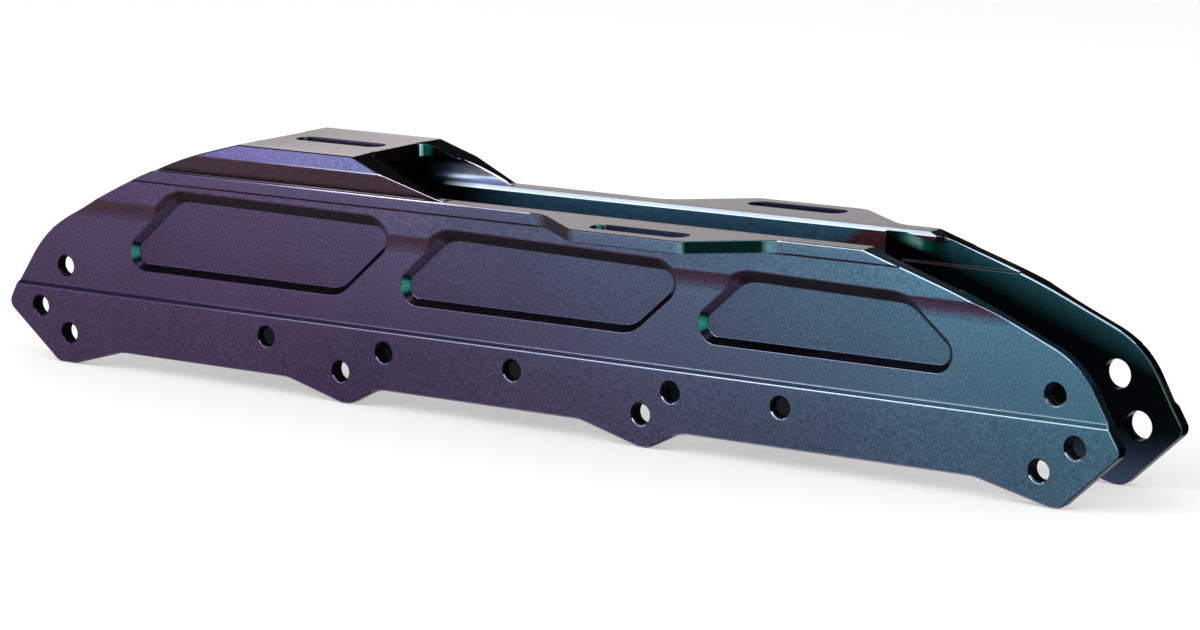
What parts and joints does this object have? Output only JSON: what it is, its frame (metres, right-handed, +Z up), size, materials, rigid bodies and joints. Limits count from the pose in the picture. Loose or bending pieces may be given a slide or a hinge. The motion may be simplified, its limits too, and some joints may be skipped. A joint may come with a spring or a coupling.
{
  "type": "inline skate frame",
  "caption": "Machined inline skate frame with lobed side walls, pockets, a raised heel block and toe tabs for the boot, and screw-in wheel axles.",
  "frame": {"origin": "middle of the frame's length and width, on the plane that its lobes stand on", "axes": "+X towards the toe, +Y towards the wall that takes the axle heads, +Z up to the boot"},
  "size_m": [0.4023, 0.0714, 0.075],
  "materials": {
    "anodised": "satin",
    "axle_steel": "satin"
  },
  "bodies": {
    "frame": {"frame_body": "anodised"},
    "axle_rear": {"axle_rear": "axle_steel"},
    "axle_middle": {"axle_middle": "axle_steel"},
    "axle_front": {"axle_front": "axle_steel"}
  },
  "joints": [
    {"name": "axle_rear_draw", "type": "slide", "parent": "frame", "child": "axle_rear", "axis": [0, 1, 0], "range_m": [0, 0.05]},
    {"name": "axle_middle_draw", "type": "slide", "parent": "frame", "child": "axle_middle", "axis": [0, 1, 0], "range_m": [0, 0.05]},
    {"name": "axle_front_draw", "type": "slide", "parent": "frame", "child": "axle_front", "axis": [0, 1, 0], "range_m": [0, 0.05]}
  ]
}
